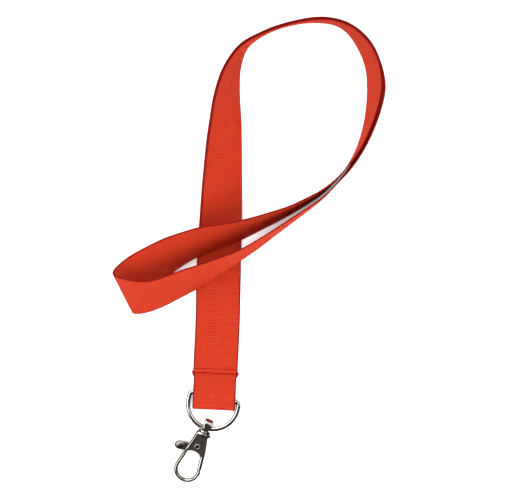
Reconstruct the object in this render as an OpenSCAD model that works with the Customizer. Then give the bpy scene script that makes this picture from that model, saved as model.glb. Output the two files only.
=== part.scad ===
// Neck lanyard: a woven ribbon loop lying in two plies, a sewn pocket, a D-ring and a swivel lobster clasp.
// Millimetres. +Z is up. The origin is under the middle of the seam, on the surface the lanyard lies on,
// and +Y runs from the clasp up the strap.

/* [Ribbon] */
// Width of the woven ribbon
ribbon_w = 20; // [16:0.5:24]
// Thickness of the woven ribbon
ribbon_t = 0.7; // [0.5:0.05:0.8]
// Distance between the middles of the two plies where they lie together
ply_pitch = 0.85; // [0.8:0.05:0.95]
// How much narrower the ribbon is in its pocket, where the ring draws it in
pocket_draw = 0.8; // [0:0.1:2]
// Distance from the seam to the fold that holds the ring
pocket_len = 16.5; // [15:0.5:20]
// Distance from that fold to the middle of the ring's bar
bar_room = 5.8; // [5.4:0.1:6.2]
// Distance that the sewn-in end runs past the seam
tail_len = 4; // [2:0.5:6]

/* [Seam] */
// Length of one stitch
stitch_len = 2.2; // [1.6:0.1:3]
// Diameter of the sewing thread
thread_d = 0.4; // [0.3:0.05:0.5]
// Distance between the two rows of stitches
row_gap = 2; // [1.5:0.1:3]

/* [D-ring] */
// Diameter of the ring's wire
wire_d = 1.9; // [1.5:0.1:2.1]
// How much wider the ring is inside than the ribbon
ring_room = 0.7; // [0.5:0.1:4]
// Length of the straight part of each arm, between the corner and the bow
arm_straight = 1.6; // [0.4:0.1:4]
// Bend radius of the two corners, to the middle of the wire
corner_r = 1.6; // [1.2:0.1:2]

/* [Swivel eye] */
// Width of the eye's band
eye_band = 2.8; // [2:0.1:3.2]
// Thickness of the eye's wall
eye_wall = 1.2; // [0.8:0.1:1.6]
// Height of the hole that the ring runs through
eye_hole = 3.4; // [3:0.1:4]
// Diameter of the swivel shank
shank_d = 1.8; // [1.4:0.1:2.2]
// Running clearance of the shank and of the rivet, on the radius
run_gap = 0.05; // [0.02:0.01:0.09]

/* [Clasp] */
// Length from the ring's wire to the outside of the hook's bend
clasp_len = 26.2; // [24:0.2:32]
// Outside width of the hook
hook_w = 12; // [11:0.2:14]
// Width of the hook's wire, seen from above
hook_wire = 1.6; // [1.2:0.1:2]
// Height of the hook's wire
hook_h = 2.6; // [2:0.1:3]
// Thickness of the clasp's body
body_t = 4.4; // [4.2:0.1:4.8]
// Height of the slot that the lever works in
slot_h = 2; // [1.8:0.1:2.4]
// Distance from the ring's wire to the rivet
rivet_at = 9.1; // [8.8:0.1:9.6]
// Outside diameter of the rivet's tube
rivet_d = 2; // [1.6:0.1:2.2]

/* [Hidden] */

red = [0.80, 0.16, 0.11];
dark_red = [0.45, 0.05, 0.05];
nickel = [0.72, 0.72, 0.72];
dark_nickel = [0.40, 0.40, 0.41];
steps = 3;          // rings between two stations of the ribbon
seam_lift = 0.7;    // the front ply rises over the sewn-in end
round_fn = 48;

// Stations of the ribbon: [x, y, z of its right edge, direction of its width, slope of its width].
// The right edge is the one that stays on the table. A slope of 0 lies flat, 90 stands on edge,
// and past 90 it leans over the other way.
strap_route = [
    [10, 12, 1.2, 180, 0],
    [10, 24, 1.22, 180, 0.3],
    [9.7, 36, 1.2, 180, 1.5],
    [9.4, 48, 1.2, 180, 6],
    [9, 60, 1.2, 180, 14],
    [8.8, 69, 1.2, 181, 21],
    [8.5, 78, 1.2, 182, 25],
    [8.1, 87, 1.2, 183, 30],
    [7.7, 96, 1.1, 183, 35],
    [7.2, 105, 1.0, 184, 40],
    [6.6, 114, 0.9, 184, 47],
    [5.6, 123, 0.8, 183, 55],
    [5, 132, 0.7, 178, 65],
    [5.2, 138, 0.6, 170, 73],
    [7.2, 146, 0.4, 148, 84],
    [12, 151.2, 0.2, 129, 90],
    [20, 155.8, 0.2, 115, 92],
    [30, 159, 0.2, 101, 92],
    [39, 160, 0.2, 88, 90],
    [47, 159.2, 0.2, 72, 89],
    [53, 155.4, 0.2, 48, 84],
    [58, 148.4, 0.3, 30, 77],
    [61.5, 140, 0.4, 13, 74]
];
front_end_route = [
    [62.6, 131, 0.4, 2, 73],
    [62.5, 122, 0.4, -4, 77],
    [61.4, 113, 0.3, -10, 82],
    [59, 104, 0.2, -20, 86],
    [55, 95.5, 0.2, -33, 90],
    [50, 89, 0.2, -44, 91],
    [44.5, 83, 0.2, -52, 94],
    [38, 78, 0.2, -56, 97],
    [31, 73.3, 0.3, -58, 100],
    [23.7, 68.8, 0.5, -60, 105],
    [16.4, 64.6, 1.2, -61, 110],
    [9.1, 60.6, 2.4, -62, 116],
    [2, 57.6, 3.7, -64, 121],
    [-5, 54.6, 4.9, -65, 126],
    [-12, 50.9, 4.9, -63, 131],
    [-18, 46.8, 3, -60, 138],
    [-24, 42, 1.4, -58, 145],
    [-30, 37, 1, -57, 152],
    [-35, 31.5, 1.5, -57, 160]
];
back_end_route = [
    [63.5, 131, 0.2, 2, 71],
    [63.4, 122, 0.2, -4, 75],
    [62.3, 113, 0.2, -10, 80],
    [60, 103.6, 0.2, -19, 85],
    [55.8, 94.8, 0.2, -31, 88],
    [50.8, 87.8, 0.2, -41, 90],
    [45, 81, 0.2, -48, 91],
    [38, 74.8, 0.2, -50, 93],
    [31, 69, 0.2, -50, 95],
    [24, 63.2, 0.4, -49, 97],
    [17, 57.2, 1, -49, 100],
    [10, 51.8, 2.1, -50, 103],
    [4, 47.2, 2.5, -52, 109],
    [-3, 42, 2.9, -54, 116],
    [-10, 37.5, 2.8, -57, 122],
    [-17, 33.3, 2.8, -60, 126],
    [-24, 29.3, 3.5, -66, 130],
    [-30, 26.6, 5, -71, 136],
    [-35.5, 25.2, 6, -68, 148]
];
neck_end = [-38.7, 26, 4, -60, 166];

// --- the ribbon's sweep ---
function across(s) = [cos(s[4]) * cos(s[3]), cos(s[4]) * sin(s[3]), sin(s[4])];
function face(s) = [-sin(s[4]) * cos(s[3]), -sin(s[4]) * sin(s[3]), cos(s[4])];
function behind(s) = [for (i = [0 : 4]) i < 3 ? s[i] - ply_pitch * face(s)[i] : s[i]];
function spline(p, q, r, s, t) =
    0.5 * (2 * q + (r - p) * t + (2 * p - 5 * q + 4 * r - s) * t * t + (3 * q - p - 3 * r + s) * t * t * t);
function smooth_path(route) = let (last = len(route) - 1) [
    for (i = [0 : last - 1], k = [0 : steps - 1])
        spline(route[max(i - 1, 0)], route[i], route[i + 1], route[min(i + 2, last)], k / steps)
];
function ring_of(s, normal) = let (
    side = ribbon_w * across(s),
    up = ribbon_t / 2 * normal,
    foot = [s[0], s[1], s[2]]
) [foot - up, foot + up, foot + side + up, foot + side - up];

// A ply runs from the seam to the neck end. There the ribbon stands upright in its turn, so the two plies
// meet face to face, with the outside of the turn on the front ply's face and on the back ply's back.
function turn_out(s) = [sin(s[3]), -cos(s[3]), 0];

module ribbon_sweep(route, end_normal) {
    rings = concat([for (s = smooth_path(route)) ring_of(s, face(s))], [ring_of(neck_end, end_normal)]);
    n = len(rings);
    polyhedron(
        points = [for (r = rings, p = r) p],
        faces = concat(
            [[0, 1, 2, 3]],
            [for (i = [0 : n - 2], k = [0 : 3], half = [0, 1])
                let (a = 4 * i + k, b = 4 * i + (k + 1) % 4)
                    k < 2 ? (half == 0 ? [a, a + 4, b] : [b, a + 4, b + 4])
                          : (half == 0 ? [a, a + 4, b + 4] : [a, b + 4, b])],
            [[4 * n - 1, 4 * n - 2, 4 * n - 3, 4 * n - 4]]
        ),
        convexity = 10
    );
}

back_z = ribbon_t / 2;
tail_z = back_z + ply_pitch - 0.05;
seam_z = back_z + ply_pitch + seam_lift;
front_start = [ribbon_w / 2, 0, seam_z, 180, 0];
front_mid = [ribbon_w / 2, 4, seam_z, 180, 0];
back_start = [ribbon_w / 2, -1.5, back_z, 180, 0];

module ribbon_front_ply() {
    color(red)
        ribbon_sweep(
            concat([front_start, front_mid], strap_route, front_end_route, [neck_end]),
            turn_out(neck_end)
        );
}

module ribbon_back_ply() {
    shared = [for (s = strap_route) behind(s)];
    color(red)
        ribbon_sweep(
            concat([back_start], shared, back_end_route, [neck_end]),
            -turn_out(neck_end)
        );
}

// --- the pocket, bent from a flat strip in the Y-Z plane ---
ring_z = 2;                                  // height of the bar's middle
fold_gap = 0.35;                             // room above and below the bar
pocket_top = ring_z + wire_d / 2 + fold_gap + ribbon_t / 2;
fold_r = (pocket_top - back_z) / 2;
fold_y = -(pocket_len - fold_r - ribbon_t / 2);
pocket_w = ribbon_w - pocket_draw;
pocket_line = concat(
    [[tail_len, tail_z], [-2, tail_z], [-5, back_z]],
    [for (a = [-90 : -15 : -270]) [fold_y + fold_r * cos(a), back_z + fold_r + fold_r * sin(a)]],
    [[-7, pocket_top], [-3, (pocket_top + seam_z) / 2], [-0.8, seam_z], [0, seam_z]]
);
function unit(v) = v / norm(v);
function bend_normal(line, i) = let (
    d = unit(line[min(i + 1, len(line) - 1)] - line[max(i - 1, 0)])
) [-d[1], d[0]];

module ribbon_pocket() {
    n = len(pocket_line);
    normals = [for (i = [0 : n - 1]) bend_normal(pocket_line, i)];
    outline = concat(
        [for (i = [0 : n - 1]) pocket_line[i] + ribbon_t / 2 * normals[i]],
        [for (i = [n - 1 : -1 : 0]) pocket_line[i] - ribbon_t / 2 * normals[i]]
    );
    color(red)
        translate([-pocket_w / 2, 0, 0])
            rotate([90, 0, 90])
                linear_extrude(pocket_w)
                    polygon(outline);
}

// --- the seam ---
stitch_count = floor((ribbon_w - 1) / stitch_len);
stitch_gap = 0.3;

module stitch_rows(height) {
    for (row = [0, row_gap], i = [0 : stitch_count - 1])
        translate([(i - stitch_count / 2) * stitch_len + stitch_gap / 2, row, height])
            rotate([0, 90, 0])
                cylinder(d = thread_d, h = stitch_len - stitch_gap, $fn = 16);
}

module needle_thread() {
    knot_d = 1.1;
    color(dark_red) {
        stitch_rows(seam_z + ribbon_t / 2);
        for (side = [-1, 1])
            translate([side * (ribbon_w / 2 + knot_d / 3), 0, seam_z])
                sphere(d = knot_d, $fn = 24);
    }
}

module bobbin_thread() {
    color(dark_red)
        stitch_rows(thread_d / 2);
}

// --- the D-ring, drawn in its own plane with its bar along X and its bow towards -Y ---
ring_at = [0.28, bar_room - pocket_len, ring_z];
ring_yaw = 11;
ring_tilt = 3;
ring_half = (ribbon_w + ring_room + wire_d) / 2;
arm_len = corner_r + arm_straight;

module at_ring() {
    translate(ring_at)
        rotate([0, 0, -ring_yaw])
            rotate([-ring_tilt, 0, 0])
                children();
}

module wire_bow(radius, from, sweep) {
    rotate([0, 0, from])
        rotate_extrude(angle = sweep, $fn = round_fn)
            translate([radius, 0])
                circle(d = wire_d, $fn = 24);
}

module d_ring() {
    color(nickel)
        at_ring() {
            translate([corner_r - ring_half, 0, 0])
                rotate([0, 90, 0])
                    cylinder(d = wire_d, h = 2 * (ring_half - corner_r), $fn = 24);
            for (side = [0, 1])
                mirror([side, 0, 0]) {
                    translate([ring_half - corner_r, -corner_r, 0])
                        wire_bow(corner_r, 0, 90);
                    translate([ring_half, -corner_r, 0])
                        rotate([90, 0, 0])
                            cylinder(d = wire_d, h = arm_straight, $fn = 24);
                }
            translate([0, -arm_len, 0])
                wire_bow(ring_half, 180, 180);
        }
}

// --- the clasp, drawn with the ring's wire at its origin and its hook towards -Y ---
clasp_u = -0.56;     // where the eye hangs along the bow
clasp_v = arm_len + sqrt(ring_half * ring_half - clasp_u * clasp_u);
clasp_yaw = 22;
clasp_tilt = 3.5;
clasp_z = 2.9;
clasp_at = [
    ring_at[0] + clasp_u * cos(ring_yaw) - clasp_v * sin(ring_yaw),
    ring_at[1] - clasp_u * sin(ring_yaw) - clasp_v * cos(ring_yaw),
    clasp_z
];

module at_clasp() {
    translate(clasp_at)
        rotate([0, 0, -clasp_yaw])
            rotate([clasp_tilt, 0, 0])
                children();
}

// a cylinder along -Y, from one distance to another
module turned(d, from, to) {
    translate([0, -from, 0])
        rotate([90, 0, 0])
            cylinder(d = d, h = to - from, $fn = round_fn);
}

eye_near = 0.45;
eye_far = 1.5;
base_top = 1.3;      // the eye's base disc
base_end = 2.2;
collar_top = 2.3;    // the body's collar
collar_end = 3.7;
plate_end = 3.9;     // underside of the plate that the shank turns in
head_d = 3;
head_gap = 0.1;
head_t = 0.6;

module eye_shape(d) {
    for (y = [eye_near, eye_far])
        translate([y, 0])
            circle(d = d, $fn = round_fn);
    translate([eye_near, -d / 2])
        square([eye_far - eye_near, d]);
}

module swivel_eye() {
    color(nickel)
        at_clasp() {
            rotate([0, -90, 0])
                rotate([0, 0, 90])
                    translate([0, 0, -eye_band / 2])
                        linear_extrude(eye_band)
                            difference() {
                                intersection() {
                                    eye_shape(eye_hole + 2 * eye_wall);
                                    translate([-base_end + 0.4, -6])
                                        square([12, 12]);
                                }
                                eye_shape(eye_hole);
                            }
            turned(5.6, base_top, base_end);
            turned(shank_d, base_end - 0.2, plate_end + head_gap + 0.1);
            turned(head_d, plate_end + head_gap, plate_end + head_gap + head_t);
        }
}

hook_r = (hook_w - hook_wire) / 2;
hook_y = clasp_len - hook_w / 2;
spine_top = [-2.6, -4.2];
spine_run = norm([spine_top[0], hook_y + spine_top[1]]);
spine_turn = asin(hook_r / spine_run) - atan(-spine_top[0] / (hook_y + spine_top[1]));
spine_len = sqrt(spine_run * spine_run - hook_r * hook_r);
spine_start = 10.7;  // the solid wire begins below the slot
nose_at = 18;        // the bend runs on past the side by this angle, where it meets the gate
gate_reach = hook_y - rivet_at - 0.3;
gate_gap = 0.2;      // the gate's end and the nose are cut to arcs about the rivet, this far apart
slot_top = 5;
slot_end = 14.3;
leg_end = 15.6;

module hook_outline() {
    translate([0, -hook_y])
        difference() {
            circle(d = hook_w, $fn = 2 * round_fn);
            circle(d = hook_w - 2 * hook_wire, $fn = 2 * round_fn);
            polygon(concat(
                [[0, 0]],
                [for (a = [2 * nose_at, 60, 120, 180 - spine_turn]) 2 * hook_w * [cos(a), sin(a)]]
            ));
            translate([0, hook_y - rivet_at])
                circle(r = gate_reach + gate_gap, $fn = 2 * round_fn);
        }
    translate(spine_top)
        rotate(-spine_turn)
            translate([-hook_wire / 2, -spine_len])
                square([hook_wire, spine_len - spine_start]);
}

module body_outline() {
    difference() {
        polygon([
            [-3.3, -collar_top - 0.4],
            [-3.5, -4.2],
            [-4.9, -13],
            [-5.4, -leg_end],
            [-3.7, -leg_end],
            [-3.4, -13],
            [3.2, -12.6],
            [4.7, -12.2],
            [4.7, -11.6],
            [2.6, -4.2],
            [2.4, -collar_top - 0.4]
        ]);
        translate([-0.2, -16.7])
            circle(r = 5.3, $fn = round_fn);
    }
}

module hook_body() {
    color(nickel)
        at_clasp()
            difference() {
                union() {
                    turned(6.7, collar_top, collar_end);
                    difference() {
                        linear_extrude(body_t, center = true)
                            body_outline();
                        translate([-10, -slot_end, -slot_h / 2])
                            cube([20, slot_end - slot_top, slot_h]);
                    }
                    linear_extrude(hook_h, center = true)
                        hook_outline();
                }
                turned(shank_d + 2 * run_gap, collar_top - 1, slot_top);
                turned(head_d + 0.2, plate_end, slot_top + 0.2);
                translate([0, -rivet_at, -body_t])
                    cylinder(d = rivet_d + 2 * run_gap, h = 2 * body_t, $fn = round_fn);
            }
}

lever_t = slot_h - 0.4;
gate_top = [3.75, -12.2];
gate_tip = [hook_r * cos(nose_at), hook_r * sin(nose_at) - hook_y];

module bar2d(a, b, d) {
    length = norm(b - a);
    translate(a)
        rotate(atan2(b[1] - a[1], b[0] - a[0])) {
            translate([0, -d / 2])
                square([length, d]);
            circle(d = d, $fn = 24);
            translate([length, 0])
                circle(d = d, $fn = 24);
        }
}

module lever_outline() {
    intersection() {
        union() {
            translate([0, -rivet_at])
                circle(d = 4, $fn = round_fn);
            bar2d([0.6, -rivet_at - 0.8], gate_top, 1.5);
            bar2d(gate_top, gate_tip, 1.4);
            bar2d([-0.6, -rivet_at - 0.4], [-7.2, -11.4], 2.2);
        }
        translate([0, -rivet_at])
            circle(r = gate_reach, $fn = 2 * round_fn);
    }
}

module trigger_lever() {
    color(dark_nickel)
        at_clasp() {
            difference() {
                linear_extrude(lever_t, center = true)
                    lever_outline();
                translate([0, -rivet_at, -lever_t])
                    cylinder(d = rivet_d + 2 * run_gap, h = 2 * lever_t, $fn = round_fn);
            }
            translate([-7.9, -11.6, 0])
                linear_extrude(2.6, center = true)
                    bar2d([-0.2, -0.1], [0.1, 0.1], 3.4);
        }
}

module lever_rivet() {
    head = 0.25;
    bore = 1.3;
    color(nickel)
        at_clasp()
            translate([0, -rivet_at, 0])
                difference() {
                    union() {
                        cylinder(d = rivet_d, h = body_t + 0.1, center = true, $fn = round_fn);
                        for (side = [-1, 1])
                            translate([0, 0, side * (body_t / 2 + 0.02 + head / 2)])
                                cylinder(d = rivet_d + 0.6, h = head, center = true, $fn = round_fn);
                    }
                    cylinder(d = bore, h = 2 * body_t, center = true, $fn = round_fn);
                }
}

module lever_spring() {
    wire = 0.4;
    color(dark_nickel)
        at_clasp()
            linear_extrude(1, center = true) {
                bar2d([1.9, -5.4], [-1.5, -5.4], wire);
                bar2d([-1.5, -5.4], [-2.6, -8.1], wire);
            }
}

ribbon_front_ply();
ribbon_back_ply();
ribbon_pocket();
needle_thread();
bobbin_thread();
d_ring();
swivel_eye();
hook_body();
trigger_lever();
lever_rivet();
lever_spring();
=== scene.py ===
# Neck lanyard: one woven ribbon sewn into a loop, a D-ring and a swivel lobster clasp.
# Pieces are drawn in millimetres and placed in the frame in metres.
import math

import bpy
import numpy as np
from mathutils import Matrix, Vector


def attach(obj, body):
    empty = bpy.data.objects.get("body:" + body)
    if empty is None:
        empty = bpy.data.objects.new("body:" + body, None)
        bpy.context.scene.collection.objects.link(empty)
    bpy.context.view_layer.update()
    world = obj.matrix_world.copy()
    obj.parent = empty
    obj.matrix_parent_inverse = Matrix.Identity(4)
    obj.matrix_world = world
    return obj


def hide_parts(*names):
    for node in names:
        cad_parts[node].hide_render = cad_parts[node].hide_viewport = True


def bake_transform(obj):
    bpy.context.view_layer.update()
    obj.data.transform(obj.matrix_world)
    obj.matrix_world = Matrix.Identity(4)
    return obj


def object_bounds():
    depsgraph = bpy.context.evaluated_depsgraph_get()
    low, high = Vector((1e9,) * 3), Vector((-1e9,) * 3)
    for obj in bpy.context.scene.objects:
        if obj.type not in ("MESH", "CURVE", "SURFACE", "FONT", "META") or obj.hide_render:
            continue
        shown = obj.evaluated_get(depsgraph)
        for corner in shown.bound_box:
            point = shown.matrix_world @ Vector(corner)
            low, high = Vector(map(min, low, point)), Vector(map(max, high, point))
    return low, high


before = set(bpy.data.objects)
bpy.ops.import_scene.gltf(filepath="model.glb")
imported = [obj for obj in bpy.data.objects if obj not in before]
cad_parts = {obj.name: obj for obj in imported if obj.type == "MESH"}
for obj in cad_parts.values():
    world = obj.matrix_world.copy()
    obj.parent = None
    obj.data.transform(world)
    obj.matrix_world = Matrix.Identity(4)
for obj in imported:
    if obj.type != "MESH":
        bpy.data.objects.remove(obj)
cadLow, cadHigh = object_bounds()
mm = 0.001
white = "#FFFFFF"


# helpers
def deselectAll():
    active = bpy.context.view_layer.objects.active
    if active and active.mode != "OBJECT":
        bpy.ops.object.mode_set(mode="OBJECT")
    bpy.ops.object.select_all(action="DESELECT")


def pick(piece):
    deselectAll()
    piece.select_set(True)
    bpy.context.view_layer.objects.active = piece


def editAll(piece):
    pick(piece)
    bpy.ops.object.mode_set(mode="EDIT")
    bpy.ops.mesh.select_all(action="SELECT")


def settle(piece):
    # puts the object's place, turn and scale into its mesh
    pick(piece)
    bpy.ops.object.transform_apply(location=True, rotation=True, scale=True)


def modify(piece, kind, **settings):
    # adds one modifier and applies it
    pick(piece)
    modifier = piece.modifiers.new(kind.lower(), kind)
    for key, value in settings.items():
        setattr(modifier, key, value)
    bpy.ops.object.modifier_apply(modifier=modifier.name)


def easeEdges(piece, width, sharperThan=40, segments=3):
    angle = math.radians(sharperThan)
    modify(piece, "BEVEL", width=width, segments=segments, limit_method="ANGLE", angle_limit=angle)


def cleanUp(piece, gap=0.001):
    # merges doubles and turns every face outwards
    editAll(piece)
    bpy.ops.mesh.remove_doubles(threshold=gap)
    bpy.ops.mesh.normals_make_consistent(inside=False)
    bpy.ops.object.mode_set(mode="OBJECT")


def joinInto(piece, others):
    pick(piece)
    for other in others:
        other.select_set(True)
    bpy.ops.object.join()


def combine(piece, other, operation):
    modify(piece, "BOOLEAN", object=other, operation=operation, solver="EXACT")
    bpy.data.objects.remove(other)


def cut(piece, cutter):
    combine(piece, cutter, "DIFFERENCE")


def keepInside(piece, bound):
    combine(piece, bound, "INTERSECT")


def place(piece, name, matrix, body, slotName, *nodes):
    # from millimetres in the piece's own axes to its place in the frame
    piece.name = name
    piece.data.name = name
    piece.matrix_world = matrix @ Matrix.Scale(mm, 4)
    settle(piece)
    bpy.ops.object.shade_smooth_by_angle(angle=math.radians(50))
    if body:
        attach(piece, body)
    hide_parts(*nodes)


def axesOf(s):
    # a part's own axes in the frame
    spot = Matrix.Translation(Vector(s["at"]) * mm)
    turn = Matrix.Rotation(math.radians(s["turn"]), 4, "Z")
    return spot @ turn @ Matrix.Rotation(math.radians(s["tilt"]), 4, "X")


def hexLinear(code):
    # an sRGB hex colour as linear RGBA
    parts = [int(code[i : i + 2], 16) / 255 for i in (1, 3, 5)]
    return [p / 12.92 if p <= 0.04045 else ((p + 0.055) / 1.055) ** 2.4 for p in parts] + [1]


def addNode(material, kind, settings=None, links=None):
    # one node; settings name its properties or sockets, links give what feeds its sockets
    tree = material.node_tree
    node = tree.nodes.new("ShaderNode" + kind)
    for key, value in (settings or {}).items():
        if isinstance(key, str) and hasattr(node, key):
            setattr(node, key, value)
        else:
            node.inputs[key].default_value = value
    for key, source in (links or {}).items():
        tree.links.new(source, node.inputs[key])
    return node


def newMaterial(name, sockets):
    material = bpy.data.materials.new(name)
    material.use_nodes = True
    shader = material.node_tree.nodes["Principled BSDF"]
    for key, value in sockets.items():
        shader.inputs[key].default_value = value
    return material


def linkShader(material, colour, relief):
    # what feeds the shader's own sockets
    shader = material.node_tree.nodes["Principled BSDF"]
    material.node_tree.links.new(colour, shader.inputs["Base Color"])
    material.node_tree.links.new(relief, shader.inputs["Normal"])


# camera, straight above the lanyard
cameraSet = {"height": 1.265, "lens": 200, "turn": 2.6, "right": 0.0034, "up": 0.0004}
middle = (cadLow + cadHigh) / 2
camera = bpy.data.objects.new("camera", bpy.data.cameras.new("camera"))
bpy.context.scene.collection.objects.link(camera)
bpy.context.scene.camera = camera
camera.data.lens = cameraSet["lens"]
camera.location = (middle.x + cameraSet["right"], middle.y + cameraSet["up"], cameraSet["height"])
camera.rotation_euler = (0, 0, math.radians(cameraSet["turn"]))
print("camera: done")


# ribbon
# Stations: x, y, z of the right edge, direction of the width, slope of the width (degrees).
strapRoute = [
    [10, 12, 1.2, 180, 0],
    [10, 24, 1.22, 180, 0.3],
    [9.7, 36, 1.2, 180, 1.5],
    [9.4, 48, 1.2, 180, 6],
    [9, 60, 1.2, 180, 14],
    [8.8, 69, 1.2, 181, 21],
    [8.5, 78, 1.2, 182, 25],
    [8.1, 87, 1.2, 183, 30],
    [7.7, 96, 1.1, 183, 35],
    [7.2, 105, 1.0, 184, 40],
    [6.6, 114, 0.9, 184, 47],
    [5.6, 123, 0.8, 183, 55],
    [5, 132, 0.7, 178, 65],
    [5.2, 138, 0.6, 170, 73],
    [7.2, 146, 0.4, 148, 84],
    [12, 151.2, 0.2, 129, 90],
    [20, 155.8, 0.2, 115, 92],
    [30, 159, 0.2, 101, 92],
    [39, 160, 0.2, 88, 90],
    [47, 159.2, 0.2, 72, 89],
    [53, 155.4, 0.2, 48, 84],
    [58, 148.4, 0.3, 30, 77],
    [61.5, 140, 0.4, 13, 74],
]
frontEndRoute = [
    [62.6, 131, 0.4, 2, 73],
    [62.5, 122, 0.4, -4, 77],
    [61.4, 113, 0.3, -10, 82],
    [59, 104, 0.2, -20, 86],
    [55, 95.5, 0.2, -33, 90],
    [50, 89, 0.2, -44, 91],
    [44.5, 83, 0.2, -52, 94],
    [38, 78, 0.2, -56, 97],
    [31, 73.3, 0.3, -58, 100],
    [23.7, 68.8, 0.5, -60, 105],
    [16.4, 64.6, 1.2, -61, 110],
    [9.1, 60.6, 2.4, -62, 116],
    [2, 57.6, 3.7, -64, 121],
    [-5, 54.6, 4.9, -65, 126],
    [-12, 50.9, 4.9, -63, 131],
    [-18, 46.8, 3, -60, 138],
    [-24, 42, 1.4, -58, 145],
    [-30, 37, 1, -57, 152],
    [-35, 31.5, 1.5, -57, 160],
]
backEndRoute = [
    [63.5, 131, 0.2, 2, 71],
    [63.4, 122, 0.2, -4, 75],
    [62.3, 113, 0.2, -10, 80],
    [60, 103.6, 0.2, -19, 85],
    [55.8, 94.8, 0.2, -31, 88],
    [50.8, 87.8, 0.2, -41, 90],
    [45, 81, 0.2, -48, 91],
    [38, 74.8, 0.2, -50, 93],
    [31, 69, 0.2, -50, 95],
    [24, 63.2, 0.4, -49, 97],
    [17, 57.2, 1, -49, 100],
    [10, 51.8, 2.1, -50, 103],
    [4, 47.2, 2.5, -52, 109],
    [-3, 42, 2.9, -54, 116],
    [-10, 37.5, 2.8, -57, 122],
    [-17, 33.3, 2.8, -60, 126],
    [-24, 29.3, 3.5, -66, 130],
    [-30, 26.6, 5, -71, 136],
    [-35.5, 25.2, 6, -68, 148],
]
neckEnd = [-38.7, 26, 4, -60, 166]
ribbonSet = {
    "width": 20,
    "thickness": 0.6,
    "stripThickness": 0.7,  # of the CAD strips, which set the heights at the seam
    "plyPitch": 0.85,
    "seamLift": 0.7,
    "pocketDraw": 0.8,  # the stitches draw the pocket in
    "pocketLength": 16.5,
    "tail": 4,  # sewn in past the seam
    "barRadius": 0.95,
    "barHeight": 2,
    "foldGap": 0.35,
    "ribPitch": 1.08,
    "ribHeight": 0.025,
    "selvageRib": 0.25,  # share of the ribs' height that is left at the selvages
    "selvageFrom": 0.9,  # where the ribs start to rise, in from an edge
    "selvageRun": 0.8,
    "stepsPerRib": 4,
    "smoothing": 1.6,  # mm that the stations' corners are eased over
    "heldEnd": 2,  # the pocket and both ends aren't eased
    "easedFrom": 8,
    "seamPress": 0.26,  # how deep the stitches pull the face in
    "seamReach": 0.4,
    "rowGap": 2,
    "secondRow": 0.6,  # share of the first row's press
    # across the ribbon: distance in from an edge, and share of the half thickness
    "section": [(0.12, 0.62), (0.45, 1.02), (0.85, 1.05), (1.2, 0.86), (1.9, 1), (7, 1), (10, 1)],
}
stripBottom = ribbonSet["stripThickness"] / 2  # height of the lowest strip's middle
seamHeight = stripBottom + ribbonSet["plyPitch"] + ribbonSet["seamLift"]


def acrossOf(station):
    turn, slope = math.radians(station[3]), math.radians(station[4])
    return np.array([math.cos(slope) * math.cos(turn), math.cos(slope) * math.sin(turn), math.sin(slope)])


def faceOf(station):
    turn, slope = math.radians(station[3]), math.radians(station[4])
    return np.array([-math.sin(slope) * math.cos(turn), -math.sin(slope) * math.sin(turn), math.cos(slope)])


def behind(station):
    moved = np.array(station[:3]) - ribbonSet["plyPitch"] * faceOf(station)
    return [*moved, *station[3:]]


def splineThrough(points, perSpan):
    # a smooth curve through all of the points
    points = np.array(points, float)
    padded = np.vstack([points[:1], points, points[-1:]])
    made = []
    for i in range(len(points) - 1):
        p, q, r, s = padded[i : i + 4]
        for k in range(perSpan):
            t = k / perSpan
            cubic = (3 * q - p - 3 * r + s) * t**3
            made.append(0.5 * (2 * q + (r - p) * t + (2 * p - 5 * q + 4 * r - s) * t * t + cubic))
    made.append(points[-1])
    return np.array(made)


def pocketEdges():
    # the sewn-in end, the fold round the ring's bar and back up to the seam, each as distance and height
    s = ribbonSet
    tailHeight = stripBottom + s["plyPitch"] - 0.05
    top = s["barHeight"] + s["barRadius"] + s["foldGap"] + stripBottom
    radius = (top - stripBottom) / 2
    foldAt = -(s["pocketLength"] - radius - stripBottom)
    line = [[s["tail"], tailHeight], [1, tailHeight], [-2, tailHeight - 0.05], [-3.6, stripBottom + 0.35]]
    line += [[y, stripBottom] for y in (-5.2, -8, -11)]
    for turn in range(-90, -271, -30):
        angle = math.radians(turn)
        line.append([foldAt + radius * math.cos(angle), stripBottom + radius + radius * math.sin(angle)])
    line += [[-10.5, top], [-7, top], [-3.2, (top + seamHeight) / 2 + 0.1]]
    line += [[-0.9, seamHeight], [0, seamHeight]]
    half = (s["width"] - s["pocketDraw"]) / 2
    path = splineThrough(line, 12)
    return [[[side, y, z] for y, z in path] for side in (half, -half)]


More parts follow.
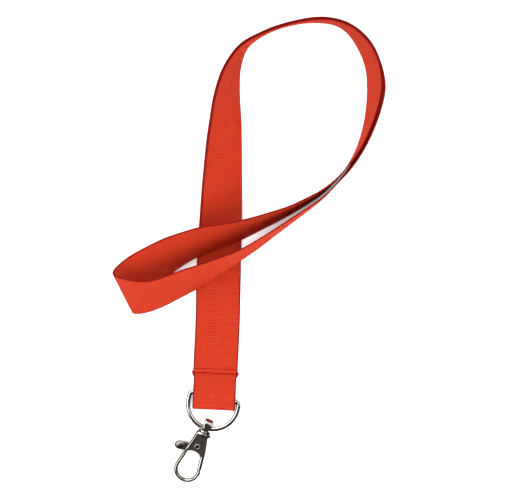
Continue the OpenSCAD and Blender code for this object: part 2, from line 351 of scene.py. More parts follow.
def ribbonPath():
    # both edges of the whole ribbon, from its sewn-in end to its other end, a quarter of a rib apart
    s = ribbonSet
    start = [[s["width"] / 2, y, seamHeight, 180, 0] for y in (0, 4)]
    end = [[s["width"] / 2, -1.5, stripBottom, 180, 0]]
    frontPly = start + strapRoute + frontEndRoute + [neckEnd]
    backPly = backEndRoute[::-1] + [behind(station) for station in strapRoute[::-1]] + end
    stations = splineThrough(frontPly + backPly, 16)
    right, left = pocketEdges()
    pocketCount = len(right)
    right = np.array(right[:-1] + [list(row[:3]) for row in stations])
    left = np.array(left[:-1] + [list(row[:3] + s["width"] * acrossOf(row)) for row in stations])
    middles = (right + left) / 2
    along = np.concatenate([[0], np.cumsum(np.linalg.norm(np.diff(middles, axis=0), axis=1))])
    pocketRun = along[pocketCount - 1]
    step = s["ribPitch"] / s["stepsPerRib"]
    even = np.linspace(0, along[-1], int(round(along[-1] / step)) + 1)
    right = np.array([np.interp(even, along, right[:, k]) for k in range(3)]).T
    left = np.array([np.interp(even, along, left[:, k]) for k in range(3)]).T
    # ease the stations' corners, but leave the pocket and both ends nearly as they are
    pastPocket = np.clip((even - pocketRun - s["heldEnd"]) / s["easedFrom"], 0, 1)
    beforeEnd = np.clip((even[-1] - even - s["heldEnd"]) / s["easedFrom"], 0, 1)
    free = 0.04 + 0.96 * (pastPocket * beforeEnd)
    passes = int(2 * (s["smoothing"] / step) ** 2)
    for edge in (right, left):
        for _ in range(passes):
            eased = 0.25 * edge[:-2] + 0.5 * edge[1:-1] + 0.25 * edge[2:]
            edge[1:-1] += free[1:-1, None] * (eased - edge[1:-1])
    across = left - right
    across /= np.linalg.norm(across, axis=1)[:, None]
    inPocket = np.clip((pocketRun + 1.5 - even) / 3, 0, 1)
    width = s["width"] - s["pocketDraw"] * inPocket
    middles = (right + left) / 2
    tangent = np.gradient(middles, axis=0)
    tangent /= np.linalg.norm(tangent, axis=1)[:, None]
    normal = np.cross(tangent, across)
    normal /= np.linalg.norm(normal, axis=1)[:, None]
    return even, pocketRun, middles, across, normal, width


def makeRibbon():
    s = ribbonSet
    along, pocketRun, middles, across, normal, width = ribbonPath()
    print("ribbon: length", round(along[-1], 1), "mm, pocket", round(pocketRun, 1), "mm")
    half = s["thickness"] / 2
    top = s["section"]
    columns = [(0, 0)] + top + [(s["width"] - w, h) for w, h in top[-2::-1]]
    ring = columns + [(s["width"], 0)] + [(w, -h) for w, h in columns[:0:-1]]
    ringCount = len(ring)
    ribWave = np.cos(2 * math.pi * along / s["ribPitch"])
    rows = ((0, 1), (s["rowGap"], s["secondRow"]))
    vertices = []
    for row in range(len(along)):
        fromSeam = along[row] - pocketRun
        press = sum(math.exp(-(((fromSeam - line) / s["seamReach"]) ** 2)) * depth for line, depth in rows)
        for w, h in ring:
            inner = min(1, max(0, (min(w, s["width"] - w) - s["selvageFrom"]) / s["selvageRun"]))
            lift = half * h
            if h:
                side = 1 if h > 0 else -1
                ribShare = s["selvageRib"] + (1 - s["selvageRib"]) * inner
                lift += side * s["ribHeight"] * ribWave[row] * ribShare
                if side > 0:
                    lift -= s["seamPress"] * press
            w = (w / s["width"] - 0.5) * width[row]
            vertices.append(middles[row] + across[row] * w + normal[row] * lift)
    faces = []
    for row in range(len(along) - 1):
        for k in range(ringCount):
            a, b = row * ringCount + k, row * ringCount + (k + 1) % ringCount
            faces.append((a, b, b + ringCount, a + ringCount))
    last = (len(along) - 1) * ringCount
    faces.append(tuple(range(ringCount - 1, -1, -1)))
    faces.append(tuple(range(last, last + ringCount)))
    mesh = bpy.data.meshes.new("ribbon")
    mesh.from_pydata([tuple(v * mm) for v in vertices], [], faces)
    weave = mesh.uv_layers.new(name="weave")  # millimetres across and along the ribbon
    spots = [(w, distance) for distance in along for w, h in ring]
    flat = np.array([spots[loop.vertex_index] for loop in mesh.loops], np.float32)
    weave.data.foreach_set("uv", flat.ravel())
    piece = bpy.data.objects.new("ribbon", mesh)
    bpy.context.scene.collection.objects.link(piece)
    editAll(piece)
    bpy.ops.mesh.normals_make_consistent(inside=False)
    pick(piece)
    bpy.ops.object.shade_smooth()
    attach(piece, "strap")
    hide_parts("ribbon_front_ply", "ribbon_back_ply", "ribbon_pocket")
    return piece


weaveSet = {
    "red": "#B0331B",
    # painted shade in the grooves between the raised ribs
    "grooveShadeColour": "#7E170F",
    # painted edge shade: the ribbon's edges in shade, drawn darker
    "edgeShade": "#6E0C08",
    "grooveShade": 0.34,
    "drift": 0.12,
    "driftLength": 14,  # mm
    # how strongly the streaks of painted light and shade vary
    "ribLightSpread": 0.06,
    "streaks": (0.12, 1.1, 1),  # per mm, so a streak is about 8 mm across the ribbon and one rib along it
    "warpPitch": 0.42,  # mm, drawn coarser than the real thread so that it shows
    "warpDepth": 0.05,
    "edgeShadeBand": (0.8, 0.45),  # mm in from the edge that the painted edge shade starts and is full at
}


def grosgrain():
    # woven polyester with raised cross ribs: a soft sheen, painted shade in the grooves, and painted edge
    # shade at the selvages
    s = weaveSet
    material = newMaterial(
        "grosgrainPolyester",
        {
            "Roughness": 0.7,
            "Specular IOR Level": 0.12,
            "Sheen Weight": 0.02,
            "Sheen Roughness": 0.4,
            "Sheen Tint": hexLinear("#FF8A70"),
            "Subsurface Weight": 0.75,  # the thin weave lets light through
            "Subsurface Radius": (1.2, 0.16, 0.08),
            "Subsurface Scale": mm,
        },
    )
    weave = addNode(material, "UVMap", {"uv_map": "weave"})
    split = addNode(material, "SeparateXYZ", links={0: weave.outputs[0]})
    acrossIt, alongIt = split.outputs[0], split.outputs[1]
    ribTurn = {"operation": "MULTIPLY", 1: 2 * math.pi / ribbonSet["ribPitch"]}
    rib = addNode(material, "Math", ribTurn, {0: alongIt})
    ribWave = addNode(material, "Math", {"operation": "COSINE"}, {0: rib.outputs[0]})
    warpTurn = {"operation": "MULTIPLY", 1: 2 * math.pi / s["warpPitch"]}
    warp = addNode(material, "Math", warpTurn, {0: acrossIt})
    warpWave = addNode(material, "Math", {"operation": "SINE"}, {0: warp.outputs[0]})
    position = addNode(material, "TexCoord")
    driftScale = {"Scale": 1 / mm * (1 / s["driftLength"]), "Detail": 3}
    drift = addNode(material, "TexNoise", driftScale, {"Vector": position.outputs["Object"]})
    # painted light and shade along the ribs: each one is drawn as though it caught the light a little
    # differently along its length
    streakMap = addNode(material, "Mapping", {"Scale": s["streaks"]}, {"Vector": weave.outputs[0]})
    streak = addNode(material, "TexNoise", {"Scale": 1, "Detail": 2}, {"Vector": streakMap.outputs[0]})
    # painted shade: darkest where the ribs dip into grooves
    ribSpan = {"From Min": -1, "From Max": 1, "To Min": s["grooveShade"], "To Max": 0}
    shade = addNode(material, "MapRange", ribSpan, {0: ribWave.outputs[0]})
    streakSpan = {"From Min": 0.35, "From Max": 0.65, "To Min": -s["ribLightSpread"], "To Max": s["ribLightSpread"]}
    ribLightStreak = addNode(material, "MapRange", streakSpan, {0: streak.outputs[0]})
    adding = {"operation": "ADD", "use_clamp": True}
    total = addNode(material, "Math", adding, {0: shade.outputs[0], 1: ribLightStreak.outputs[0]})
    drifting = {"operation": "MULTIPLY_ADD", 1: s["drift"], "use_clamp": True}
    drifted = addNode(material, "Math", drifting, {0: drift.outputs[0], 2: total.outputs[0]})
    # the red mixed towards the painted groove shade
    colourAndShade = {"data_type": "RGBA", 6: hexLinear(s["red"]), 7: hexLinear(s["grooveShadeColour"])}
    body = addNode(material, "Mix", colourAndShade, {0: drifted.outputs[0]})
    fromMiddle = addNode(material, "Math", {"operation": "SUBTRACT", 1: ribbonSet["width"] / 2}, {0: acrossIt})
    outward = addNode(material, "Math", {"operation": "ABSOLUTE"}, {0: fromMiddle.outputs[0]})
    # painted edge shade: the red turns darker over the last part of the width at both edges
    starts, full = (ribbonSet["width"] / 2 - inward for inward in s["edgeShadeBand"])
    edge = addNode(material, "MapRange", {"From Min": starts, "From Max": full}, {0: outward.outputs[0]})
    edgeShadeMix = {"data_type": "RGBA", 7: hexLinear(s["edgeShade"])}
    withEdgeShade = addNode(material, "Mix", edgeShadeMix, {0: edge.outputs[0], 6: body.outputs[2]})
    crossing = {0: warpWave.outputs[0], 1: ribWave.outputs[0]}
    threads = addNode(material, "Math", {"operation": "MULTIPLY"}, crossing)
    relief = {"Strength": 0.5, "Distance": s["warpDepth"] * mm}
    bump = addNode(material, "Bump", relief, {"Height": threads.outputs[0]})
    linkShader(material, colour=withEdgeShade.outputs[2], relief=bump.outputs[0])
    return material


ribbon = makeRibbon()
ribbon.data.materials.append(grosgrain())
print("ribbon: done")


# tubes drawn out along straight and curved moves
def sweepTube(name, start, facing, radii, moves, sides=24, squareness=1, closed=False):
    # a line moves the end of the tube, an arc spins it about a centre, and a swell scales its section
    deselectAll()
    bpy.ops.mesh.primitive_circle_add(vertices=sides, radius=1)
    piece = bpy.context.object
    piece.name = name
    for vertex in piece.data.vertices:  # squareness under 1 gives flatter sides
        x, y = vertex.co.x, vertex.co.y
        vertex.co.x = math.copysign(abs(x) ** squareness, x) * radii[0]
        vertex.co.y = math.copysign(abs(y) ** squareness, y) * radii[1]
    piece.location = start
    piece.rotation_euler = [math.radians(turn) for turn in facing]
    settle(piece)
    editAll(piece)
    for kind, *how in moves:
        if kind == "line":
            bpy.ops.mesh.extrude_region_move(TRANSFORM_OT_translate={"value": how[0]})
        elif kind == "arc":
            centre, axis, degrees, steps = how
            bpy.ops.mesh.spin(steps=steps, angle=-math.radians(degrees), center=centre, axis=axis)
        else:
            bpy.ops.transform.resize(value=how[0], center_override=how[1])
    if not closed:
        bpy.ops.mesh.select_all(action="SELECT")
        bpy.ops.mesh.fill_holes(sides=0)
    bpy.ops.object.mode_set(mode="OBJECT")
    cleanUp(piece)
    return piece


# plain shapes that the clasp is cut and cast from
def disc(name, radius, low, high, at=(0, 0), axis="Z", sides=64, bevel=0):
    # a round plate from low to high along an axis, its rims eased by a bevel
    deselectAll()
    spot = {"Z": (at[0], at[1], (low + high) / 2), "Y": (at[0], (low + high) / 2, at[1])}[axis]
    turn = {"Z": (0, 0, 0), "Y": (math.pi / 2, 0, 0)}[axis]
    size = {"vertices": sides, "radius": radius, "depth": high - low}
    bpy.ops.mesh.primitive_cylinder_add(**size, location=spot, rotation=turn)
    piece = bpy.context.object
    piece.name = name
    settle(piece)
    if bevel:
        easeEdges(piece, bevel)
    return piece


def block(name, low, high):
    deselectAll()
    bpy.ops.mesh.primitive_cube_add(size=1, location=[(a + b) / 2 for a, b in zip(low, high)])
    piece = bpy.context.object
    piece.name = name
    piece.scale = [b - a for a, b in zip(low, high)]
    settle(piece)
    return piece


def plate(name, outline, half, bevel):
    # an outline in the X-Y plane, extruded both ways, with eased edges
    mesh = bpy.data.meshes.new(name)
    mesh.from_pydata([(x, y, -half) for x, y in outline], [], [tuple(range(len(outline)))])
    piece = bpy.data.objects.new(name, mesh)
    bpy.context.scene.collection.objects.link(piece)
    editAll(piece)
    bpy.ops.mesh.extrude_region_move(TRANSFORM_OT_translate={"value": (0, 0, 2 * half)})
    bpy.ops.mesh.select_all(action="SELECT")
    bpy.ops.mesh.normals_make_consistent(inside=False)
    bpy.ops.object.mode_set(mode="OBJECT")
    easeEdges(piece, bevel, sharperThan=30)
    return piece


def barBetween(name, a, b, halfWidth, halfHeight, squareness=0.7):
    a, b = Vector(a), Vector(b)
    heading = math.degrees(math.atan2(b.y - a.y, b.x - a.x))
    moves = [("line", (b.x - a.x, b.y - a.y, 0))]
    facing = (90, 0, heading + 90)
    return sweepTube(name, (a.x, a.y, 0), facing, (halfWidth, halfHeight), moves, squareness=squareness)


def oneSkin(piece, voxel):
    modify(piece, "REMESH", mode="VOXEL", voxel_size=voxel)


def soften(piece, passes=3):
    # the soft inner corners of a casting
    modify(piece, "SMOOTH", factor=0.5, iterations=passes)


# D-ring, bent from wire
ringSet = {
    "wire": 1.9,
    "inner": 20.7,
    "corner": 1.6,
    "armStraight": 1.6,
    "at": (0.28, -10.7, 2),
    "turn": -11,
    "tilt": -3,
}


def makeRing():
    s = ringSet
    side = (s["inner"] + s["wire"]) / 2 - s["corner"]
    bowAt = -s["corner"] - s["armStraight"]
    up = (0, 0, 1)
    moves = [
        ("line", (side, 0, 0)),
        ("arc", (side, -s["corner"], 0), up, -90, 8),
        ("line", (0, -s["armStraight"], 0)),
        ("arc", (0, bowAt, 0), up, -180, 72),
        ("line", (0, s["armStraight"], 0)),
        ("arc", (-side, -s["corner"], 0), up, -90, 8),
        ("line", (side, 0, 0)),
    ]
    radius = s["wire"] / 2
    piece = sweepTube("dRing", (0, 0, 0), (0, 90, 0), (radius, radius), moves, sides=32, closed=True)
    place(piece, "dRing", axesOf(s), "ring", "ring_nickel", "d_ring")
    return piece


# clasp, drawn with the ring's wire at its origin and its hook towards -Y
claspSet = {
    "at": (-3.034, -24.813, 2.9),
    "turn": -22,
    "tilt": 3.5,
    "length": 26.2,
    "width": 12,
    "wire": 1.6,
    "gateReach": 10.8,  # the gate's end and the nose are cut to arcs about the rivet
    "gateGap": 0.22,
    "rivetAt": -9.1,
    "rivetHole": 1.05,
}
claspAxes = axesOf(claspSet)
rivetSpot = (0, claspSet["rivetAt"])
bendRadius = (claspSet["width"] - claspSet["wire"]) / 2
bendAt = -(claspSet["length"] - claspSet["width"] / 2)

eyeSet = {
    "near": 0.45,  # the band runs straight from here to far
    "far": 1.5,
    "bandRadius": 2.3,
    "halfBand": 1.3,
    "halfWall": 0.6,
    "flare": 1.4,
    # radius, low and high end, and eased rim
    "turned": {
        "shoulder": (2.2, -1.7, -1.1, 0.25),
        "base": (2.75, -2.2, -1.4, 0.35),
        "shank": (0.9, -4.1, -2, 0),
        "head": (1.5, -4.6, -4, 0.15),
    },
    "voxel": 0.1,
}


def makeEye():
    # a flat band bent into a loop round the ring, flared at its far end, on a turned base
    s = eyeSet
    near, far, radius = s["near"], s["far"], s["bandRadius"]
    side = (1, 0, 0)
    moves = [
        ("line", (0, far - near, 0)),
        ("swell", (s["flare"], 1, 1), (0, far, radius)),
        ("arc", (0, far, 0), side, -180, 24),
        ("line", (0, near - far, 0)),
        ("swell", (1 / s["flare"], 1, 1), (0, near, -radius)),
        ("arc", (0, near, 0), side, -180, 24),
    ]
    section = (s["halfBand"], s["halfWall"])
    eye = sweepTube("swivelEye", (0, near, radius), (90, 0, 0), section, moves, squareness=0.5, closed=True)
    turned = []
    for name, (size, low, high, rim) in s["turned"].items():
        turned.append(disc(name, size, low, high, axis="Y", bevel=rim))
    joinInto(eye, turned)
    oneSkin(eye, s["voxel"])
    soften(eye)
    place(eye, "swivelEye", claspAxes, "eye", "clasp_nickel", "swivel_eye")
    return eye


hookSet = {
    "height": 2.6,
    "spineTop": (-2.6, -4.2),
    "nose": 24,  # degrees round the bend that the hook ends at
    # share of the long side's length, and how much its section grows there
    "swells": [(0.16, 1.12), (0.14, 1.22), (0.2, 1.16), (0.25, 1.12), (0.25, 1.04)],
    "cheek": 2,
    "cheekOutline": [
        (-2.7, -2.7), (-3.2, -5), (-4.6, -13), (-4.9, -15.2), (-4.1, -15.4), (-3.2, -13),
        (3.2, -12.7), (4.5, -12.5), (4.7, -11.8), (3.6, -7.6), (2.5, -4), (2.3, -2.7),
    ],
    "cheekEdge": 0.25,
    "opening": 5.3,
    "openingAt": (-0.2, -16.7),
    "collar": 3.4,
    "collarFlat": 2.65,  # its half height, pressed flat so that it lies on the table
    "collarRun": (-3.7, -2.35),
    "collarEdge": 0.55,
    "slot": ((-10, -14.3, -1), (10, -5, 1)),
    "swivelBores": [(0.95, -5.5, -1.5), (1.6, -5.2, -3.9)],  # for the eye's shank and head
    "voxel": 0.13,
    # where the flat faces get the darker colour of painted dark reflection
    "darkCheekRun": (-14.6, -4),
}


def makeSpine():
    # the hook's bend and its long side, which swells towards the collar
    s = hookSet
    top = Vector(s["spineTop"])
    run = math.hypot(top.x, top.y - bendAt)
    turn = math.asin(bendRadius / run) - math.atan(-top.x / (top.y - bendAt))
    length = math.sqrt(run**2 - bendRadius**2)
    nose = math.radians(s["nose"])
    start = (bendRadius * math.cos(nose), bendAt + bendRadius * math.sin(nose), 0)
    along = Vector((math.sin(turn), math.cos(turn), 0))
    moves = [("arc", (0, bendAt, 0), (0, 0, 1), -(math.degrees(nose + turn) + 180), 64)]
    spot = Vector((0, bendAt, 0)) + bendRadius * Vector((-math.cos(turn), math.sin(turn), 0))
    for share, swell in s["swells"]:
        spot += along * length * share
        moves += [("line", tuple(along * length * share)), ("swell", (1, 1, swell), tuple(spot))]
    section = (claspSet["wire"] / 2, s["height"] / 2)
    spine = sweepTube("hookBody", start, (90, 0, s["nose"]), section, moves, sides=32)
    noseCut = disc("cutter", claspSet["gateReach"] + claspSet["gateGap"], -3, 3, at=rivetSpot, sides=128)
    keepInside(noseCut, block("bound", (2.5, -22, -4), (9, -14, 4)))
    cut(spine, noseCut)
    return spine


def makeHook():
    s = hookSet
    spine = makeSpine()
    cheeks = plate("cheeks", s["cheekOutline"], s["cheek"], s["cheekEdge"])
    cut(cheeks, disc("cutter", s["opening"], -4, 4, at=s["openingAt"], sides=96))
    collar = disc("collar", s["collar"], *s["collarRun"], axis="Y", bevel=s["collarEdge"])
    collar.scale.z = s["collarFlat"] / s["collar"]
    settle(collar)
    joinInto(spine, [cheeks, collar])
    oneSkin(spine, s["voxel"])
    cut(spine, block("cutter", *s["slot"]))
    cut(spine, disc("cutter", claspSet["rivetHole"], -4, 4, at=rivetSpot))
    for radius, low, high in s["swivelBores"]:
        cut(spine, disc("cutter", radius, low, high, axis="Y"))
    oneSkin(spine, s["voxel"])
    soften(spine)
    place(spine, "hookBody", claspAxes, "clasp", "clasp_nickel", "hook_body")
    return spine


leverSet = {
    "hub": 2,
    "halfThick": 0.8,
    # from, to, half width, half height and squareness
    "bars": {
        "arm": ((0.6, -9.9), (3.75, -12.4), 0.8, 0.8, 0.7),
        "thumbArm": ((-0.6, -9.5), (-4, -10.5), 1.2, 0.8, 0.7),
        "thumbWeb": ((-3.5, -10.45), (-7.2, -11.5), 1.95, 0.85, 0.5),
    },
    "gateFrom": (3.7, -11.7),
    "gateTip": 12,  # degrees round the hook's bend
    "gateSection": (0.92, 1.1),
    "tab": (2.6, 2, 1.3),
    "tabAt": (-7.4, -11.6, 0),
    "tabTurn": 18,
    "voxel": 0.11,
    # the tab past here is drawn darker, as painted dark reflection
    "darkTabPast": -4.6,
}


def makeLever():
    s = leverSet
    tip = math.radians(s["gateTip"])
    gateTip = (bendRadius * math.cos(tip), bendAt + bendRadius * math.sin(tip))
    hub = disc("triggerLever", s["hub"], -s["halfThick"], s["halfThick"], at=rivetSpot, bevel=0.15)
    arm, thumbArm, thumbWeb = (barBetween(name, *how) for name, how in s["bars"].items())
    gate = barBetween("gate", s["gateFrom"], gateTip, *s["gateSection"], squareness=0.9)
    keepInside(gate, disc("bound", claspSet["gateReach"], -3, 3, at=rivetSpot, sides=128))
    deselectAll()
    bpy.ops.mesh.primitive_uv_sphere_add(segments=48, ring_count=24, radius=1)
    tab = bpy.context.object
    tab.scale = s["tab"]
    tab.rotation_euler = (0, 0, math.radians(s["tabTurn"]))
    tab.location = s["tabAt"]
    settle(tab)
    joinInto(hub, [arm, gate, thumbArm, thumbWeb, tab])
    oneSkin(hub, s["voxel"])
    soften(hub)
    cut(hub, disc("cutter", claspSet["rivetHole"], -4, 4, at=rivetSpot))
    place(hub, "triggerLever", claspAxes, "lever", "lever_nickel", "trigger_lever")
    return hub


rivetSet = {
    "radius": 1,
    "halfLength": 2.3,
    "head": 1.35,
    "headDepth": 0.34,
    "headAt": (-2.5, 2.22),
    "headEdge": 0.14,
    "bore": 0.72,
    "boreFrom": -1,  # a blind hole, as in a semi-tubular rivet
    "boreEdge": 0.12,
}


def makeRivet():
    s = rivetSet
    tube = disc("leverRivet", s["radius"], -s["halfLength"], s["halfLength"], at=rivetSpot)
    for height in s["headAt"]:
        head = disc("head", s["head"], 0, s["headDepth"], at=rivetSpot, bevel=s["headEdge"])
        head.location.z = height
        settle(head)
        combine(tube, head, "UNION")
    cut(tube, disc("cutter", s["bore"], s["boreFrom"], 4, at=rivetSpot))
    easeEdges(tube, s["boreEdge"], segments=2)
    place(tube, "leverRivet", claspAxes, "clasp", "rivet_nickel", "lever_rivet")
    return tube


springSet = {
    "from": (1.9, -5.4, 0),
    "seat": 3,  # lies flat against the top of the slot
    "bend": 0.4,
    "turn": 68,
    "leg": (-0.95, -2.35, 0),
    "section": (0.18, 0.5),
    "heldAt": (-1.5, -5.4, 0),
    "freeAt": (-2.6, -8.1, 0),
}


def makeSpring():
    # a bent leaf between the top of the slot and the thumb arm
    s = springSet
    x, y, z = s["from"]
    moves = [
        ("line", (-s["seat"], 0, 0)),
        ("arc", (x - s["seat"], y - s["bend"], 0), (0, 0, 1), s["turn"], 8),
        ("line", s["leg"]),
    ]
    leaf = sweepTube("leverSpring", s["from"], (90, 0, 90), s["section"], moves, sides=16, squareness=0.5)
    place(leaf, "leverSpring", claspAxes, None, "spring_steel", "lever_spring")
    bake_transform(leaf)
    return leaf


# seam threads
seamSet = {
    "stitch": 2.2,
    "gap": 0.02,
    "thread": 0.6,
    "count": 8,
    "secondRowSinks": 0.12,
    # share of the stitch's length, and how much its section grows there
    "growths": [
        (0.06, 2.2), (0.1, 1.5), (0.17, 1.15), (0.34, 1),
        (0.17, 1 / 1.15), (0.1, 1 / 1.5), (0.06, 1 / 2.2),
    ],
    "endShare": 3.8,  # the middle is this many times as thick as the ends
    "knotLength": 1.25,
    "knots": [(-0.45, 70), (0, 85), (0.4, 105)],  # place along the ribbon, and turn
    "knotAt": 10.05,
    "knotStep": 0.1,
    "knotDrop": 0.35,
    "knotLean": 12,
    "lockLength": 1.3,
    "lockAt": 9.6,
    "needleSinks": 0.12,
    "bobbinHeight": 0.16,
}


def oneStitch(length):
    # a stitch swells out of the weave and sinks back in
    s = seamSet
    spot, moves = Vector((-length / 2, 0, 0)), []
    for share, growth in s["growths"]:
        spot = spot + Vector((length * share, 0, 0))
        moves += [("line", (length * share, 0, 0)), ("swell", (1, growth, growth), tuple(spot))]
    thin = s["thread"] / 2 / s["endShare"]
    return sweepTube("stitch", (-length / 2, 0, 0), (0, 90, 0), (thin, thin), moves, sides=10)


def sewn(stitch, at, turn=0, lean=0):
    # a copy of the stitch, with its own mesh, set in its place
    piece = stitch.copy()
    piece.data = stitch.data.copy()
    bpy.context.scene.collection.objects.link(piece)
    piece.rotation_euler = (0, math.radians(lean), math.radians(turn))
    piece.location = at
    settle(piece)
    return piece


def makeThread(name, height, node, knots):
    s = seamSet
    plain, knot, lock = (oneStitch(n) for n in (s["stitch"] - s["gap"], s["knotLength"], s["lockLength"]))
    stitches = []
    for row, sink in ((0, 0), (ribbonSet["rowGap"], s["secondRowSinks"])):
        for i in range(s["count"]):
            x = (i - s["count"] / 2 + 0.5) * s["stitch"]
            stitches.append(sewn(plain, (x, row, height - sink)))
    if knots:  # the thread is locked at both edges, where it wraps round the ribbon
        for side in (-1, 1):
            for k, (y, turn) in enumerate(s["knots"]):
                step = s["knotStep"] * k
                spot = (side * (s["knotAt"] + step), y, height - s["knotDrop"] + step)
                stitches.append(sewn(knot, spot, turn, s["knotLean"]))
            stitches.append(sewn(lock, (side * s["lockAt"], 0, height)))
    for pattern in (plain, knot, lock):
        bpy.data.objects.remove(pattern)
    joinInto(stitches[0], stitches[1:])
    place(stitches[0], name, Matrix.Identity(4), "strap", "thread", node)
    return stitches[0]


dRing = makeRing()
print("D-ring: done")
swivelEye = makeEye()
hookBody = makeHook()
triggerLever = makeLever()
leverRivet = makeRivet()
leverSpring = makeSpring()
print("clasp: done")
needleHeight = seamHeight + ribbonSet["thickness"] / 2 - seamSet["needleSinks"]
needleThread = makeThread("needleThread", needleHeight, "needle_thread", True)
bobbinThread = makeThread("bobbinThread", seamSet["bobbinHeight"], "bobbin_thread", False)
print("threads: done")


# metal and thread finishes
def nickel(name, colour, roughness, grain, depth):
    # metal with an unevenness of its skin, grain and depth in mm, that breaks up its reflections
    material = newMaterial(name, {"Metallic": 1, "Roughness": roughness})
    position = addNode(material, "TexCoord")
    size = {"Scale": 1 / mm / grain, "Detail": 4}
    skin = addNode(material, "TexNoise", size, {"Vector": position.outputs["Object"]})
    bright = hexLinear(colour)
    dull = [part * 0.72 for part in bright[:3]] + [1]
    shade = addNode(material, "Mix", {"data_type": "RGBA", 6: bright, 7: dull}, {0: skin.outputs[0]})
    bump = addNode(material, "Bump", {"Strength": 0.4, "Distance": depth * mm}, {"Height": skin.outputs[0]})
    linkShader(material, colour=shade.outputs[2], relief=bump.outputs[0])
    return material


def sewingThread():
    # twisted polyester thread: matt, with strands slanting across it, painted shade where the bump dips
    # between them and lighter red on their tops
    material = newMaterial("twistedPolyesterThread", {"Roughness": 0.85, "Specular IOR Level": 0.1})
    position = addNode(material, "TexCoord")
    turn = {"Rotation": (0, 0, math.radians(35))}
    slant = addNode(material, "Mapping", turn, {"Vector": position.outputs["Object"]})
    strands = addNode(material, "TexWave", {"Scale": 0.9 / mm, "Distortion": 1}, {"Vector": slant.outputs[0]})
    # dark painted shade between the strands, lighter red on the strand tops
    colourAndShade = {"data_type": "RGBA", 6: hexLinear("#7E0E0A"), 7: hexLinear("#A01C12")}
    shade = addNode(material, "Mix", colourAndShade, {0: strands.outputs[0]})
    bump = addNode(material, "Bump", {"Strength": 0.5, "Distance": 0.05 * mm}, {"Height": strands.outputs[0]})
    linkShader(material, colour=shade.outputs[2], relief=bump.outputs[0])
    return material


# drawn steel wire in bright nickel plate: smooth, so its reflections run in crisp lines along it
plated = nickel("platedNickelWire", "#D9D6CF", 0.16, 2.5, 0.02)
# polished zinc casting in the same plate: a little warmer, and wavier from the mould
cast = nickel("platedNickelCasting", "#C9C2B8", 0.17, 1.6, 0.03)
# thumb tab: blurred and mottled, and drawn darker as a painted dark reflection of the room overhead
tabDarkReflection = nickel("nickelTabDarkReflection", "#7E7C7A", 0.3, 0.7, 0.08)
# flat cheek faces between the polished edges: a blurred satin finish, drawn darker as a painted dark
# reflection of the room overhead
cheekDarkReflection = nickel("nickelCheekDarkReflection", "#857A70", 0.36, 0.9, 0.06)
# rivet head turned and then pressed: a pale soft ring
turned = nickel("turnedNickelRivet", "#E4E1DB", 0.36, 2, 0.01)
# spring strip as rolled, without plate: an even dull grey
springWire = nickel("bareSpringSteel", "#9A9A98", 0.35, 1.2, 0.02)
# inside of the rivet's bore: nearly black, painted shade in the deep hole
bore = newMaterial("paintedBoreShade", {"Base Color": hexLinear("#191715"), "Metallic": 0.5, "Roughness": 0.8})
thread = sewingThread()
for piece, finishes in (
    (dRing, [plated]),
    (swivelEye, [cast]),
    (hookBody, [cast, cheekDarkReflection]),
    (triggerLever, [cast, tabDarkReflection]),
    (leverRivet, [turned, bore]),
    (leverSpring, [springWire]),
    (needleThread, [thread]),
    (bobbinThread, [thread]),
):
    piece.data.materials.clear()
    for finish in finishes:
        piece.data.materials.append(finish)


# the faces that belongs picks get the piece's second material: painted dark reflection on the cheeks and tab,
# painted shade in the bore
def giveSecondMaterial(piece, belongs):
    # belongs is asked with each face's centre and normal in the clasp's own axes, in mm
    toClasp = (claspAxes @ Matrix.Scale(mm, 4)).inverted()
    turnBack = claspAxes.to_3x3().inverted()
    for face in piece.data.polygons:
        if belongs(toClasp @ face.center, turnBack @ face.normal):
            face.material_index = 1


# the thumb tab, drawn darker as painted dark reflection
def onTab(spot, normal):
    return spot.x < leverSet["darkTabPast"]


# the cheek faces facing straight up or down, drawn darker as painted dark reflection
def onCheek(spot, normal):
    low, high = hookSet["darkCheekRun"]
    return low < spot.y < high and abs(spot.z) < hookSet["cheek"] + 0.06 and abs(normal.z) > 0.93


# the faces inside the bore, drawn nearly black as painted shade
def inBore(spot, normal):
    return math.hypot(spot.x, spot.y - claspSet["rivetAt"]) < rivetSet["bore"] + 0.02


giveSecondMaterial(triggerLever, onTab)
giveSecondMaterial(hookBody, onCheek)
giveSecondMaterial(leverRivet, inBore)
print("finishes: done")

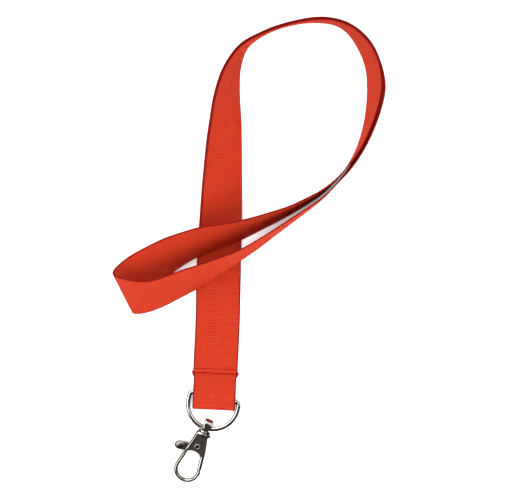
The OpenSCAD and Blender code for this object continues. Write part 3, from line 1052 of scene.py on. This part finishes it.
# floor and light
studio = {
    "floorSize": 3,
    "floorWhite": "#FAFAFA",
    "floorGlow": 0.2,
    "lampSize": 0.8,
    "lamps": {"key": ((-0.35, 0.45, 0.95), 10), "fill": ((0.35, -0.55, 0.95), 12)},  # where, and how strong
    "sky": 0.95,
    # what the metal mirrors: a dark room with windows, each a direction and a brightness
    "windows": [((-0.7, 0.15, 0.7), 4), ((-0.2, 0.75, 0.63), 5), ((0.6, 0.5, 0.62), 1.8)],
    "windowEdges": (0.88, 0.95),
    "dark": 0.045,
}


def makeFloor():
    # matt white paper, lit a little from below so that shadows stay pale
    bpy.ops.mesh.primitive_plane_add(size=studio["floorSize"])
    floor = bpy.context.object
    floor.name = "floor"
    paper = newMaterial(
        "whitePaper",
        {
            "Base Color": hexLinear(studio["floorWhite"]),
            "Roughness": 0.9,
            "Specular IOR Level": 0.1,
            "Emission Color": hexLinear(white),
            "Emission Strength": studio["floorGlow"],
        },
    )
    floor.data.materials.append(paper)
    floor.visible_glossy = False


def softbox(name, at, power):
    lamp = bpy.data.objects.new(name, bpy.data.lights.new(name, "AREA"))
    bpy.context.scene.collection.objects.link(lamp)
    lamp.data.size = studio["lampSize"]
    lamp.data.energy = power
    lamp.location = at
    lamp.rotation_euler = (middle - Vector(at)).to_track_quat("-Z", "Y").to_euler()
    lamp.visible_glossy = False


def makeSky():
    world = bpy.data.worlds.new("studio")
    bpy.context.scene.world = world
    world.use_nodes = True
    low, high = studio["windowEdges"]
    direction = addNode(world, "TexCoord")
    glow = addNode(world, "Value")
    glow.outputs[0].default_value = studio["dark"]
    for window, bright in studio["windows"]:
        towards = {"operation": "DOT_PRODUCT", 1: Vector(window).normalized()}
        facing = addNode(world, "VectorMath", towards, {0: direction.outputs["Generated"]})
        span = {"From Min": low, "From Max": high, "To Min": 0, "To Max": bright}
        light = addNode(world, "MapRange", span, {0: facing.outputs["Value"]})
        glow = addNode(world, "Math", {"operation": "ADD"}, {0: glow.outputs[0], 1: light.outputs[0]})
    ray = addNode(world, "LightPath")
    links = {0: ray.outputs["Is Glossy Ray"], 3: glow.outputs[0]}
    strength = addNode(world, "Mix", {"data_type": "FLOAT", 2: studio["sky"]}, links)
    background = world.node_tree.nodes["Background"]
    background.inputs["Color"].default_value = hexLinear(white)
    world.node_tree.links.new(strength.outputs[0], background.inputs["Strength"])


makeFloor()
for name, (at, power) in studio["lamps"].items():
    softbox(name, at, power)
makeSky()
bpy.context.scene.view_settings.view_transform = "Standard"
print("floor and light: done")
